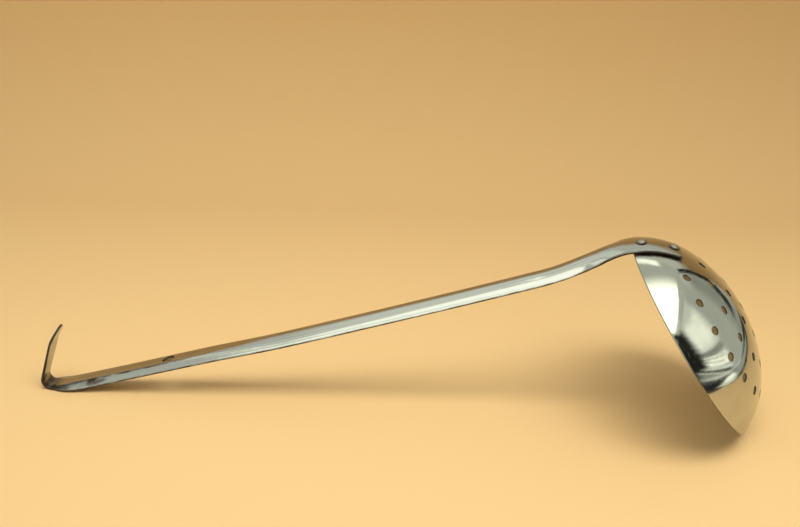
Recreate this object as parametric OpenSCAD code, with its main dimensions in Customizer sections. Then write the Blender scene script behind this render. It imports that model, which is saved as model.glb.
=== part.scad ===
// Perforated ladle of stamped sheet steel: a shallow round bowl with rings of
// drain holes, and a channel-shaped handle whose flattened end follows the
// outside of the bowl under two rivets. The other end turns up into a hook.
// Millimetres, +Z up. The ladle stands as it rests on a table, on the bend of
// the hook and on the rim of the bowl. The handle lies in the plane Y = 0 with
// the bowl at +X. The origin is on the table, under the middle of the length.

/* [Bowl] */
// Outside diameter of the rim
bowl_d = 110; // [100:1:120]
// Depth of the outside, from the rim plane to the deepest point
bowl_depth = 29.3; // [27:0.1:31]
// Outside radius of the shallow middle, as a share of the radius of one even
// arc from the deepest point to the rim
crown_share = 1.132; // [1.05:0.001:1.2]
// Outside radius of the wall that turns down to the rim, as such a share
wall_share = 0.694; // [0.6:0.001:0.8]
// Thickness of the bowl's sheet
bowl_t = 0.9; // [0.7:0.1:1.2]
// Lean of the rim plane from upright as the ladle rests
bowl_lean = 34; // [30:1:38]

/* [Drain holes] */
// Diameter of a drain hole
drain_d = 4.2; // [3:0.1:5]
// Distance between the rings of holes, along the outside
drain_pitch = 14.7; // [13.5:0.1:15.5]
// Number of rings round the middle hole
drain_rings = 3; // [1:1:3]
// Holes that each ring has more than the one inside it
drain_step = 6; // [4:1:8]

/* [Handle] */
// Thickness of the handle's strip
strip_t = 1.25; // [1:0.05:1.5]
// Width of the strip before it is bent into a channel
strip_w = 18.6; // [17:0.1:20]
// Width of the strip where the run meets the heel
end_w = 17.6; // [16:0.1:20]
// Width of the flat top of the channel towards the hook
web_w = 7.8; // [7:0.1:8.5]
// Width of the flat top of the rounded stretch
round_web_w = 2.6; // [1.5:0.1:3.5]
// Width along the strip of the fold towards the hook
fold_w = 1.9; // [1.5:0.1:2.5]
// Width along the strip of the fold in the rounded stretch
round_fold_w = 5.2; // [4.5:0.1:5.6]
// Angle that each side is folded down
fold_angle = 66; // [55:1:75]
// Length of the handle's long run
run_len = 262.5; // [220:0.5:300]
// Angle that the long run bends up along its length
run_bow = 2.4; // [0.5:0.1:4]
// Length at the hook end that keeps the flat top
flat_len = 80; // [72:1:100]
// Length over which the flat top becomes round
round_len = 50; // [30:1:80]

/* [Neck] */
// Angle by which the neck is steeper than the run
neck_rise = 9.5; // [6:0.5:12]
// Length of the straight neck
neck_len = 15; // [8:1:25]
// Radius of the bend between the run and the neck
sweep_r = 110; // [80:5:140]
// Radius of the bend over the rim of the bowl
crest_r = 52; // [40:1:65]
// Length over which the channel flattens towards the bowl
flatten_len = 30; // [22:1:36]

/* [Tab on the bowl] */
// Length of the tab from the rim, along the bowl
tab_len = 23.6; // [22:0.1:26]
// Width of the tab at its end
tab_w = 16.4; // [14:0.1:17]
// Radius of the tab's corners
tab_corner_r = 2.2; // [1:0.1:3]
// Radius across the tab
tab_cross_r = 42; // [36:1:50]

/* [Rivets] */
// Diameter of a rivet's shank
rivet_d = 3.2; // [2.8:0.1:3.6]
// Diameter of a rivet's heads
head_d = 5; // [4.6:0.1:5.6]
// Height of the outer head
head_h = 1.5; // [1.2:0.1:1.8]
// Height of the head inside the bowl
inner_head_h = 1.1; // [0.8:0.1:1.4]
// Distance of the first rivet from the rim, along the bowl
rivet_near = 4.6; // [4:0.1:6]
// Distance between the two rivets, along the bowl
rivet_gap = 15.4; // [13:0.1:16]

/* [Hook and hanging hole] */
// Width of the strip in the hook, where its round end starts
hook_w = 13; // [10:0.1:14]
// Width of the strip at the heel
heel_w = 11; // [10:0.1:14]
// Length of the hook's upright part, from the bend to the tip
hook_len = 31; // [24:1:40]
// Lean of the hook towards the bowl, from upright
hook_lean = 18; // [5:1:25]
// Angle that the hook's tip bends further in
tip_bend = 12; // [2:1:20]
// Radius of the bend before the tip
tip_bend_r = 20; // [10:1:30]
// Inside radius of the bend at the heel
heel_r = 3.8; // [2.5:0.1:5]
// Length over which the folded sides fade out towards the heel
fade_len = 34; // [26:1:44]
// Length over which the strip narrows before the heel
narrow_len = 9; // [6:0.5:14]
// Diameter of the hanging hole
hang_d = 6.5; // [5:0.1:7]
// Distance of the hanging hole from the heel, along the handle
hang_pos = 64.5; // [45:0.5:66]

/* [Clearances] */
// Gap between the edges of the tab and the bowl
tab_fit = 0.05; // [0.03:0.01:0.1]
// Gap round a rivet's shank
shank_fit = 0.05; // [0.03:0.01:0.1]
// Gap under the head inside the bowl
head_fit = 0.1; // [0.08:0.01:0.15]

/* [Hidden] */

// Steps of the handle's path along each stretch, from the tab to the hook
corner_steps = 5;
tab_steps = 9;
crest_steps = 8;
neck_steps = 6;
sweep_steps = 4;
run_steps = 20;
fade_steps = 14;
heel_steps = 14;
blade_steps = 4;
tip_bend_steps = 3;
tip_steps = 8;
// Steps across half the strip
web_steps = 2;
fold_steps = 6;
side_steps = 3;

// Angle in degrees of an arc of the given length and radius
function turn(length, radius) = length / radius * 180 / PI;
// Value that goes from a to b while share goes from 0 to 1
function mix(a, b, share) = a + (b - a) * share;
// Smooth step from 0 to 1 while x goes from 0 to 1
function ease(x) = let (c = min(max(x, 0), 1)) c * c * (3 - 2 * c);
// Even steps after from, up to and with to
function steps(from, to, count) = [for (i = [1:count]) from + (to - from) * i / count];
// Height lost across a half width on a surface of the given radius
function sag(half, radius) = radius - sqrt(radius * radius - half * half);

// The bowl's meridian is two arcs that meet smoothly. Its points are given as
// distance from the axis and height over the rim plane. A place on it is named
// by its normal's angle from the axis.
rim_r = bowl_d / 2;
even_r = (rim_r * rim_r + bowl_depth * bowl_depth) / (2 * bowl_depth);
crown_r = crown_share * even_r;
wall_r = wall_share * even_r;
crown_c = bowl_depth - crown_r;
arc_gap = crown_r - wall_r;
rim_far = norm([rim_r, crown_c]);
join_cos = (rim_far * rim_far + arc_gap * arc_gap - wall_r * wall_r) / (2 * arc_gap * rim_far);
join_a = atan2(rim_r, -crown_c) - acos(join_cos);
wall_c = [arc_gap * sin(join_a), crown_c + arc_gap * cos(join_a)];
rim_a = atan2(rim_r - wall_c[0], -wall_c[1]);
crown_len = crown_r * join_a * PI / 180;
side_len = crown_len + wall_r * (rim_a - join_a) * PI / 180;

// Normal's angle at a distance from the deepest point, along the outside
function normal_at(dist) =
    dist <= crown_len ? turn(dist, crown_r) : join_a + turn(dist - crown_len, wall_r);
// Point of the meridian, raised off the outside by lift
function meridian(a, lift) =
    a <= join_a
        ? [0, crown_c] + (crown_r + lift) * [sin(a), cos(a)]
        : wall_c + (wall_r + lift) * [sin(a), cos(a)];

// Side view of the same point on the handle's side, as X and Z. The lowest
// point of the rim is at X = 0 here.
function side_view(m) =
    [
        -(rim_r + m[0]) * sin(bowl_lean) + m[1] * cos(bowl_lean),
        (rim_r + m[0]) * cos(bowl_lean) + m[1] * sin(bowl_lean)
    ];

// The tab's underside follows the bowl at this height, so that its edges,
// which are bent more than the bowl, stay tab_fit clear of it.
tab_a = normal_at(side_len - tab_len);
rim_cross_r = rim_r / sin(rim_a);
tab_end_cross_r = meridian(tab_a, 0)[0] / sin(tab_a);
rim_lift = sag(strip_w / 2, tab_cross_r) - sag(strip_w / 2, rim_cross_r);
tab_end_lift = sag(tab_w / 2, tab_cross_r) - sag(tab_w / 2, tab_end_cross_r);
tab_lift = tab_fit + max(rim_lift, tab_end_lift, 0);
top_lift = tab_lift + strip_t;

// The side view of the strip's top face is a path from the tab to the hook. A
// heading of 180 runs level towards the hook, and it grows as the path dives.
function top_normal(heading) = [sin(heading), -cos(heading)];
function arc_end(p, from, to, r) = p + r * (top_normal(to) - top_normal(from));
function line_end(p, heading, dist) = p + dist * [cos(heading), sin(heading)];

rim_heading = rim_a + bowl_lean + 90;
rim_top = side_view(meridian(rim_a, top_lift));
bow_r = -run_len / (run_bow * PI / 180);
run_chord = run_len * sin(run_bow / 2) / (run_bow / 2 * PI / 180);

// Width of the strip and share of its fold that is left, at a distance before
// the heel
taper_len = flat_len + round_len;
function run_width(before) =
    mix(
        mix(end_w, strip_w, min(max(before / taper_len, 0), 1)),
        heel_w,
        ease((narrow_len - before) / (narrow_len + heel_r))
    );
function fold_left(before) = 1 - pow(1 - min(max(before / fade_len, 0), 1), 2);

// Height of the run's end over the table, so that the bend of the heel or the
// lowest point of the folded sides touches it. The slope is the one there.
fade_before = [for (i = [0:fade_steps]) fade_len * pow(1 - i / fade_steps, 1.5)];
function heel_height(slope) =
    max(
        heel_r + strip_t - heel_r * cos(slope),
        max([for (b = fade_before) side_depth(b) * cos(slope + turn(b, -bow_r)) - climb(slope, b)])
    );
// Rise of the run's top face from its end to a distance before it
function climb(slope, before) = -bow_r * (cos(slope) - cos(slope + turn(before, -bow_r)));

// The run's slope follows from the height that is left once all the bends are
// taken off, because the heel has to reach the table.
function run_height(slope) =
    rim_top[1]
    - crest_r * (cos(rim_heading - 180) - cos(slope + neck_rise))
    - neck_len * sin(slope + neck_rise)
    - sweep_r * (cos(slope + run_bow / 2) - cos(slope + neck_rise))
    - heel_height(slope - run_bow / 2);
function solve_slope(slope, left) =
    left == 0 ? slope : solve_slope(asin(run_height(slope) / run_chord), left - 1);
run_slope = solve_slope(15, 16);

neck_heading = 180 + run_slope + neck_rise;
run_heading = 180 + run_slope + run_bow / 2;
heel_heading = 180 + run_slope - run_bow / 2;
hook_heading = 90 - hook_lean;

crest_end = arc_end(rim_top, rim_heading, neck_heading, crest_r);
neck_end = line_end(crest_end, neck_heading, neck_len);
run_start = arc_end(neck_end, neck_heading, run_heading, -sweep_r);
heel_start = arc_end(run_start, run_heading, heel_heading, bow_r);
hook_start = arc_end(heel_start, heel_heading, hook_heading, -heel_r);
heel_c = heel_start + heel_r * top_normal(heel_heading);

// Stations of the path: X, Z and heading. The round end of the hook stops
// just short of a point, so that it keeps a narrow flat tip.
tip_sweep = 88;
round_end = [for (a = steps(0, tip_sweep, tip_steps)) hook_w / 2 * sin(a)];
corner_cut = [for (i = [0:corner_steps]) tab_corner_r * (1 - cos(90 * i / corner_steps))];
tab_dist = concat(corner_cut, steps(tab_corner_r, tab_len, tab_steps));
function arc_stations(p, from, to, r, count) =
    [for (a = steps(from, to, count)) concat(arc_end(p, from, a, r), a)];
function line_stations(p, heading, dist, count) =
    [for (d = steps(0, dist, count)) concat(line_end(p, heading, d), heading)];
tab_stations = [
    for (d = tab_dist)
        let (a = normal_at(side_len - tab_len + d))
            concat(side_view(meridian(a, top_lift)), a + bowl_lean + 90)
];
function before_heel(dist) = heel_heading - turn(dist, bow_r);
tip_heading = hook_heading - tip_bend;
blade_len = hook_len - hook_w / 2 - tip_bend_r * tip_bend * PI / 180;
blade_end = line_end(hook_start, hook_heading, blade_len);
tip_start = arc_end(blade_end, hook_heading, tip_heading, -tip_bend_r);
stations = concat(
    tab_stations,
    arc_stations(rim_top, rim_heading, neck_heading, crest_r, crest_steps),
    line_stations(crest_end, neck_heading, neck_len, neck_steps),
    arc_stations(neck_end, neck_heading, run_heading, -sweep_r, sweep_steps),
    arc_stations(run_start, run_heading, before_heel(fade_len), bow_r, run_steps),
    [
        for (i = [1:fade_steps])
            let (a = before_heel(fade_before[i]))
                concat(arc_end(run_start, run_heading, a, bow_r), a)
    ],
    arc_stations(heel_start, heel_heading, hook_heading, -heel_r, heel_steps),
    line_stations(hook_start, hook_heading, blade_len, blade_steps),
    arc_stations(blade_end, hook_heading, tip_heading, -tip_bend_r, tip_bend_steps),
    [for (d = round_end) concat(line_end(tip_start, tip_heading, d), tip_heading)]
);

// Distance of each station from the end of the tab, and of the bends
path_dist = [
    for (
        i = 0, d = 0;
        i < len(stations);
        d = d + (i + 1 < len(stations) ? station_gap(i) : 0), i = i + 1
    ) d
];
function station_gap(i) =
    norm([stations[i + 1][0] - stations[i][0], stations[i + 1][1] - stations[i][1]]);
round_i = len(stations) - 1 - tip_steps;
hook_i = round_i - tip_bend_steps - blade_steps;
rim_dist = path_dist[len(tab_stations) - 1];
heel_dist = path_dist[hook_i - heel_steps];
hook_dist = path_dist[hook_i];
round_dist = path_dist[round_i];

// How far the section is a channel, how far its top is rounded, and how far
// it follows the bowl, at a distance along the path
function channel_at(d) = ease((d - rim_dist) / flatten_len) * fold_left(heel_dist - d);
function rounded_at(d) = ease((heel_dist - flat_len - d) / round_len);
function tab_at(d) = 1 - ease((d - rim_dist) / flatten_len);
function half_at(d) =
    let (
        on_tab = mix(tab_w, strip_w, ease(d / rim_dist)),
        on_hook = mix(heel_w, hook_w, min(max((d - hook_dist) / blade_len, 0), 1)),
        corner = max(tab_corner_r - d, 0),
        tip = min(max(d - round_dist, 0), hook_w / 2)
    )
        (d < rim_dist ? on_tab : d < hook_dist ? run_width(heel_dist - d) : on_hook) / 2
        - sag(corner, tab_corner_r)
        - sag(tip, hook_w / 2);

// Half a section runs from the middle of the strip to its edge, as shares of
// the half width: the flat top, the fold and the side.
function shares(web, fold) =
    concat(
        [0],
        steps(0, web, web_steps),
        steps(web, web + fold, fold_steps),
        steps(web + fold, 1, side_steps)
    );
function slope_across(q, web, fold, channel, cross) =
    channel * fold_angle * min(max((q - web) / fold, 0), 1) + cross * q;
// Points of the half section, from the middle out: Y, Z and slope
function half_section(half, web, fold, channel, cross) =
    let (q = shares(web, fold))
        [
            for (
                i = 0, y = 0, z = 0, a = 0;
                i < len(q);
                i = i + 1,
                a = i < len(q) ? slope_across((q[i] + q[i - 1]) / 2, web, fold, channel, cross) : 0,
                y = i < len(q) ? y + cos(a) * (q[i] - q[i - 1]) * half : 0,
                z = i < len(q) ? z - sin(a) * (q[i] - q[i - 1]) * half : 0
            ) [y, z, slope_across(q[i], web, fold, channel, cross)]
        ];
function section_at(d) =
    let (
        half = half_at(d),
        web = mix(web_w, round_web_w, rounded_at(d)) / strip_w,
        fold = mix(fold_w, round_fold_w, rounded_at(d)) * 2 / strip_w
    )
        half_section(half, web, fold, channel_at(d), turn(half, tab_cross_r) * tab_at(d));
// Depth of the folded side under the top face, before the heel
function side_depth(before) =
    let (
        half = run_width(before) / 2,
        section = half_section(half, web_w / strip_w, fold_w * 2 / strip_w, fold_left(before), 0),
        edge = section[len(section) - 1]
    )
        strip_t * cos(edge[2]) - edge[1];

// A ring runs along the top face from one edge to the other and comes back
// along the underside, strip_t lower.
function ring(half, i) =
    let (
        n = len(half),
        top = [
            for (k = [n - 1:-1:1]) [-half[k][0], half[k][1]],
            for (k = [0:n - 1]) [half[k][0], half[k][1]]
        ],
        under = [
            for (k = [n - 1:-1:0])
                [half[k][0] - strip_t * sin(half[k][2]), half[k][1] - strip_t * cos(half[k][2])],
            for (k = [1:n - 1])
                [strip_t * sin(half[k][2]) - half[k][0], half[k][1] - strip_t * cos(half[k][2])]
        ],
        up = top_normal(stations[i][2])
    )
        [
            for (p = concat(top, under))
                [stations[i][0] + p[1] * up[0], p[0], stations[i][1] + p[1] * up[1]]
        ];

// Closed solid through rings of equal count
module loft(rings) {
    n = len(rings[0]);
    last = (len(rings) - 1) * n;
    sides = [
        for (i = [0:len(rings) - 2], k = [0:n - 1])
            let (a = i * n + k, b = i * n + (k + 1) % n)
                each [[a, b + n, b], [a, a + n, b + n]]
    ];
    ends = [
        for (k = [0:n / 2 - 2])
            each [
                [k, n - 2 - k, n - 1 - k],
                [k, k + 1, n - 2 - k],
                [last + k, last + n - 1 - k, last + n - 2 - k],
                [last + k, last + n - 2 - k, last + k + 1]
            ]
    ];
    polyhedron([for (r = rings) each r], concat(sides, ends));
}

// Middle of the length, measured from the lowest point of the rim
bowl_far_x = -rim_r * sin(bowl_lean) + max(
    crown_c * cos(bowl_lean) + crown_r - (bowl_lean > join_a ? crown_r : 0),
    bowl_lean > join_a ? wall_c[0] * sin(bowl_lean) + wall_c[1] * cos(bowl_lean) + wall_r : 0
);
hook_far_x = heel_c[0] - heel_r - strip_t;
mid_x = (bowl_far_x + hook_far_x) / 2;

cut = 1;
bowl_fn = 180;
bore_fn = 32;

// Puts a shape made at the rim's lowest point into the part's frame
module stand() {
    translate([-mid_x, 0, 0])
        children();
}

// Puts a shape made over the rim plane, with Z out of the bowl's bottom
module on_rim_plane() {
    translate([-rim_r * sin(bowl_lean), 0, rim_r * cos(bowl_lean)])
        rotate([0, 90 - bowl_lean, 0])
            children();
}

// Puts a shape on the bowl's outside with Z along the normal. Round is 0 at
// the lowest side of the rim and 180 under the handle.
module on_bowl(a, round) {
    m = meridian(a, 0);
    rotate([0, 0, round])
        translate([m[0], 0, m[1]])
            rotate([0, a, 0])
                children();
}

// Filled half outline of the bowl, drawn in from the outside by inset
module bowl_outline(inset) {
    far = 2 * crown_r;
    intersection() {
        translate([0, crown_c])
            circle(r = crown_r - inset, $fn = bowl_fn);
        polygon([
            [0, crown_c],
            [0, crown_c + far],
            [far * sin(join_a), crown_c + far * cos(join_a)]
        ]);
    }
    translate(wall_c)
        circle(r = wall_r - inset, $fn = bowl_fn);
}

module bowl_shell() {
    rotate_extrude($fn = bowl_fn)
        intersection() {
            square([bowl_d, bowl_d]);
            difference() {
                bowl_outline(0);
                bowl_outline(bowl_t);
            }
        }
}

// A hole is left out where the tab of the handle covers its place
function under_tab(dist, r, round) =
    cos(round) < 0
    && side_len - dist < tab_len + drain_d / 2
    && abs(r * sin(round)) < (tab_w + drain_d) / 2;

module drain_hole() {
    translate([0, 0, -bowl_t - cut])
        cylinder(d = drain_d, h = bowl_t + 2 * cut, $fn = bore_fn);
}

module drain_holes() {
    on_bowl(0, 0)
        drain_hole();
    for (i = [1:drain_rings]) {
        dist = i * drain_pitch;
        a = normal_at(dist);
        count = i * drain_step;
        for (k = [0:count - 1]) {
            round = 90 + k * 360 / count;
            if (!under_tab(dist, meridian(a, 0)[0], round))
                on_bowl(a, round)
                    drain_hole();
        }
    }
}

near_a = normal_at(side_len - rivet_near);
far_a = normal_at(side_len - rivet_near - rivet_gap);

// The bore that a rivet's shank passes through, in both sheets
module rivet_bore(a) {
    bore_h = bowl_t + top_lift + 2 * cut;
    on_bowl(a, 180)
        translate([0, 0, -bowl_t - cut])
            cylinder(r = rivet_d / 2 + shank_fit, h = bore_h, $fn = bore_fn);
}

// Half outline of a domed head that stands on the line Z = 0
module dome_outline(height) {
    dome_r = (head_d * head_d / 4 + height * height) / (2 * height);
    intersection() {
        translate([0, height - dome_r])
            circle(r = dome_r, $fn = 96);
        square([head_d / 2, height]);
    }
}

// The rivet stands on the tab and is closed inside the bowl. The inner head
// keeps clear of the bowl's hollow face, which rises under the head's edge.
module rivet(a) {
    inner_seat = -bowl_t - head_fit - sag(head_d / 2, wall_r - bowl_t);
    on_bowl(a, 180)
        rotate_extrude($fn = 48)
            union() {
                translate([0, top_lift])
                    dome_outline(head_h);
                translate([0, inner_seat])
                    square([rivet_d / 2, top_lift - inner_seat]);
                translate([0, inner_seat])
                    mirror([0, 1])
                        dome_outline(inner_head_h);
            }
}

hang_heading = before_heel(hang_pos);
hang_at = arc_end(run_start, run_heading, hang_heading, bow_r);

module hang_bore() {
    translate([hang_at[0], 0, hang_at[1]])
        rotate([0, 180 - hang_heading, 0])
            translate([0, 0, -strip_t - cut])
                cylinder(d = hang_d, h = strip_t + 2 * cut, $fn = 48);
}

module bowl() {
    color("lightsteelblue")
        stand()
            on_rim_plane()
                difference() {
                    bowl_shell();
                    drain_holes();
                    rivet_bore(near_a);
                    rivet_bore(far_a);
                }
}

module handle() {
    color("silver")
        stand()
            difference() {
                loft([for (i = [0:len(stations) - 1]) ring(section_at(path_dist[i]), i)]);
                hang_bore();
                on_rim_plane() {
                    rivet_bore(near_a);
                    rivet_bore(far_a);
                }
            }
}

module rim_rivet() {
    color("gainsboro")
        stand()
            on_rim_plane()
                rivet(near_a);
}

module tab_rivet() {
    color("gainsboro")
        stand()
            on_rim_plane()
                rivet(far_a);
}

bowl();
handle();
rim_rivet();
tab_rivet();
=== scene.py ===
import math
from collections import namedtuple

import bpy
import numpy as np
from bpy.props import FloatProperty, FloatVectorProperty, IntProperty, PointerProperty
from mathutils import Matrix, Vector
from mathutils.geometry import delaunay_2d_cdt


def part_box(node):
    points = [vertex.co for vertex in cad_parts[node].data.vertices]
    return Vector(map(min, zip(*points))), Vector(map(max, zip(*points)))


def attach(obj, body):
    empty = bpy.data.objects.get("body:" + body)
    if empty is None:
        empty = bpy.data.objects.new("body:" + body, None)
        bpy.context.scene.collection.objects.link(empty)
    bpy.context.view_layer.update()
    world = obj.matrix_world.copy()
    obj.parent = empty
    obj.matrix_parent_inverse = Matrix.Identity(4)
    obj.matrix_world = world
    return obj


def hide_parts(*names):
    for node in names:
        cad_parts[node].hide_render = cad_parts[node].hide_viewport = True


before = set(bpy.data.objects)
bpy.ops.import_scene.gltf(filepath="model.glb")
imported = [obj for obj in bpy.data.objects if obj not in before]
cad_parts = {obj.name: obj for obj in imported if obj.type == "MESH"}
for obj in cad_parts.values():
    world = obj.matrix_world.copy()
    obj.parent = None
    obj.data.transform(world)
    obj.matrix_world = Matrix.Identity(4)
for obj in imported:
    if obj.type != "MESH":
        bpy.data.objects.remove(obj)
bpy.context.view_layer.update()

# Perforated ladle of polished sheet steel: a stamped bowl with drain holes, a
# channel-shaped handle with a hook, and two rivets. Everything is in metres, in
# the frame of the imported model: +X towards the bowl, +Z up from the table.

bl_info = {
    "name": "Perforated ladle",
    "version": (1, 0, 0),
    "blender": (4, 5, 0),
    "location": "3D View > Sidebar > Ladle",
    "description": "Builds a riveted steel ladle with drain holes, and a studio for it",
    "category": "Add Mesh",
}

MM = 0.001
FULL_TURN = 2 * math.pi

# How finely curves are cut, in points or in metres.
NUDGE = 5e-6
PATH_STEP = 0.02 * MM
SECTION_PARTS = 48
DEPTH_PARTS = 60
FADE_STEPS = 15
EDGE_STEPS = 5
CORNER_POINTS = 9
TIP_POINTS = 40
DRAIN_POINTS = 40
RIVET_HOLE_POINTS = 32
HANG_POINTS = 48
RIVET_POINTS = 64
DOME_POINTS = 18


def length(name, description, millimetres):
    """A size in metres, written in millimetres."""
    return FloatProperty(
        name=name, description=description, default=millimetres * MM, unit="LENGTH", precision=5
    )


def angle(name, description, degrees):
    """An angle in radians, written in degrees."""
    return FloatProperty(
        name=name, description=description, default=math.radians(degrees), unit="ROTATION"
    )


def ratio(name, description, value):
    """A plain number."""
    return FloatProperty(name=name, description=description, default=value, min=0, precision=3)


def share(name, description, value):
    """A plain number from 0 to 1."""
    return FloatProperty(name=name, description=description, default=value, min=0, max=1)


def colour(name, description, red, green, blue):
    """A linear colour."""
    return FloatVectorProperty(
        name=name, description=description, default=(red, green, blue), subtype="COLOR", size=3
    )


class BowlSizes(bpy.types.PropertyGroup):
    """Sizes of the stamped bowl and its drain holes."""

    diameter: length("Diameter", "Outside diameter of the rim", 110)
    depth: length("Depth", "Depth of the outside, from the rim plane", 29.3)
    crown_share: ratio("Crown share", "Radius of the shallow middle over the even arc's", 1.132)
    wall_share: ratio("Wall share", "Radius of the wall by the rim over the even arc's", 0.694)
    thickness: length("Thickness", "Thickness of the sheet", 0.9)
    lean: angle("Lean", "Lean of the rim plane from upright", 34)
    edge_radius: length("Edge radius", "Rounding of the rim's edge", 0.32)
    drain_diameter: length("Hole diameter", "Diameter of a drain hole", 4.2)
    drain_pitch: length("Ring pitch", "Distance between rings of holes", 14.7)
    drain_rings: IntProperty(name="Rings", description="Rings round the middle hole", default=3)
    drain_step: IntProperty(name="Step", description="Holes a ring has more than the last", default=6)
    punch_radius: length("Punch radius", "Rounding that the punch left round a hole", 0.16)
    mesh_step: length("Mesh step", "Distance between points of the surface", 1.3)


class HandleSizes(bpy.types.PropertyGroup):
    """Sizes of the handle's strip along its path, from the tab to the hook."""

    thickness: length("Thickness", "Thickness of the strip", 1.25)
    width: length("Width", "Width of the strip before it is folded", 18.6)
    end_width: length("End width", "Width where the run meets the heel", 17.6)
    web: length("Flat top", "Width of the flat top towards the hook", 7.8)
    round_web: length("Round top", "Width of the flat top in the rounded stretch", 2.6)
    fold: length("Fold", "Width along the strip of the fold towards the hook", 1.9)
    round_fold: length("Round fold", "Width along the strip of the fold, rounded stretch", 5.2)
    fold_angle: angle("Fold angle", "Angle that each side is folded down", 66)
    run: length("Run", "Length of the long run", 262.5)
    run_bow: angle("Bow", "Angle that the run bends along its length", 2.4)
    flat_stretch: length("Flat stretch", "Length at the hook end with the flat top", 80)
    round_stretch: length("Round stretch", "Length over which the top becomes round", 50)
    neck_rise: angle("Neck rise", "Angle by which the neck is steeper than the run", 9.5)
    neck: length("Neck", "Length of the straight neck", 15)
    sweep_radius: length("Sweep radius", "Radius of the bend between run and neck", 110)
    crest_radius: length("Crest radius", "Radius of the bend over the rim", 52)
    flatten: length("Flatten", "Length over which the channel flattens to the tab", 30)
    tab: length("Tab", "Length of the tab from the rim, along the bowl", 23.6)
    tab_width: length("Tab width", "Width of the tab at its end", 16.4)
    tab_corner: length("Tab corner", "Radius of the tab's corners", 2.2)
    tab_cross: length("Tab cross radius", "Radius across the tab", 42)
    tab_gap: length("Tab gap", "Gap between the tab's edges and the bowl", 0.05)
    hook_width: length("Hook width", "Width of the hook where its round end starts", 13)
    heel_width: length("Heel width", "Width at the heel", 11)
    hook: length("Hook", "Length of the hook from the bend to the tip", 31)
    hook_lean: angle("Hook lean", "Lean of the hook from upright", 18)
    tip_bend: angle("Tip bend", "Angle that the hook's tip bends further in", 12)
    tip_bend_radius: length("Tip bend radius", "Radius of the bend before the tip", 20)
    heel_radius: length("Heel radius", "Inside radius of the bend at the heel", 3.8)
    fade: length("Fade", "Length over which the sides fade out to the heel", 34)
    narrow: length("Narrow", "Length over which the strip narrows at the heel", 9)
    hang_diameter: length("Hanging hole", "Diameter of the hanging hole", 6.5)
    hang_place: length("Hole place", "Distance of the hanging hole from the heel", 64.5)
    edge_radius: length("Edge radius", "Rounding of the strip's edges", 0.4)
    punch_radius: length("Punch radius", "Rounding that the punch left round the hole", 0.2)
    mesh_step: length("Mesh step", "Distance between points of the surface", 0.45)


class RivetSizes(bpy.types.PropertyGroup):
    """Sizes of the two rivets."""

    shank: length("Shank", "Diameter of the shank", 3.2)
    head: length("Head", "Diameter of the heads", 5)
    head_height: length("Head height", "Height of the outer head", 1.5)
    inner_height: length("Inner height", "Height of the head inside the bowl", 1.1)
    head_gap: length("Head gap", "Gap under the head inside the bowl", 0.1)
    near: length("First rivet", "Distance of the first rivet from the rim", 4.6)
    gap: length("Gap", "Distance between the rivets", 15.4)
    lip: length("Lip", "Height of the upright lip round a head", 0.35)


class SteelColours(bpy.types.PropertyGroup):
    """Colours and polish of the steel."""

    bowl: colour("Bowl", "Colour of the bowl's steel", 0.53, 0.54, 0.50)
    strip: colour("Handle", "Colour of the handle's steel", 0.50, 0.51, 0.50)
    rivet: colour("Rivets", "Colour of the rivets' steel", 0.32, 0.30, 0.26)
    # The cut edges' colour is near black: painted shade on the cut faces and their roundings.
    cut: colour("Cut edges", "Colour of the raw cut edges", 0.05, 0.04, 0.028)
    # Colour of greasy spots and, darkened, of painted shade and other dark marks.
    grime_and_shade: colour("Grime", "Colour of old grease in corners", 0.16, 0.11, 0.07)
    polish: share("Polish", "Roughness of the well polished steel", 0.05)
    wear: share("Wear", "Roughness of worn patches", 0.2)
    rivet_polish: share("Rivet polish", "Roughness of the rivets", 0.42)


class StageLook(bpy.types.PropertyGroup):
    """Colours, lights and sizes of the studio."""

    paper: colour("Paper", "Colour of the floor and the backdrop", 0.87, 0.58, 0.25)
    table: colour("Table", "Colour of the table round the paper", 0.03, 0.03, 0.025)
    air: colour("Room colour", "Colour of the room's own light", 1, 1, 0.95)
    right: length("Right edge", "Place of the paper's right edge", 480)
    left: length("Left edge", "Place of the paper's left edge", -900)
    front_left: length("Front left", "Place of the paper's front left corner", -730)
    front_right: length("Front right", "Place of the paper's front right corner", -130)
    back: length("Backdrop", "Place of the upright backdrop", 440)
    sweep: length("Sweep", "Radius of the bend between floor and backdrop", 160)
    top_left: length("Left top", "Height of the backdrop at its left", 220)
    top_right: length("Right top", "Height of the backdrop at its right", 330)
    box_width: length("Soft box width", "Width of the soft box over the ladle", 1000)
    box_depth: length("Soft box depth", "Depth of the soft box, from front to back", 450)
    box_spread: angle("Soft box spread", "Angle that the soft box's light fills", 75)
    soft_level: ratio("Soft box light", "Radiance of the soft box", 1.18)
    room: ratio("Room light", "Radiance of the room", 0.46)
    view_width: angle("View width", "Horizontal angle that the camera sees", 36.62)


def mix(start, end, part):
    """Value that goes straight from start to end while part goes from 0 to 1."""
    return start + (end - start) * part


def ease(x):
    """Smooth step: 3 x squared less 2 x cubed, held at 0 and 1 outside that range."""
    held = np.clip(x, 0, 1)
    return held * held * (3 - 2 * held)


def sag(half, radius):
    """Height lost across a half width on a circle: radius less root of radius² - half²."""
    return radius - np.sqrt(np.maximum(radius * radius - half * half, 0))


def unit(vectors):
    """Vectors divided by their own lengths."""
    return vectors / np.maximum(np.linalg.norm(vectors, axis=-1, keepdims=True), 1e-12)


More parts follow.
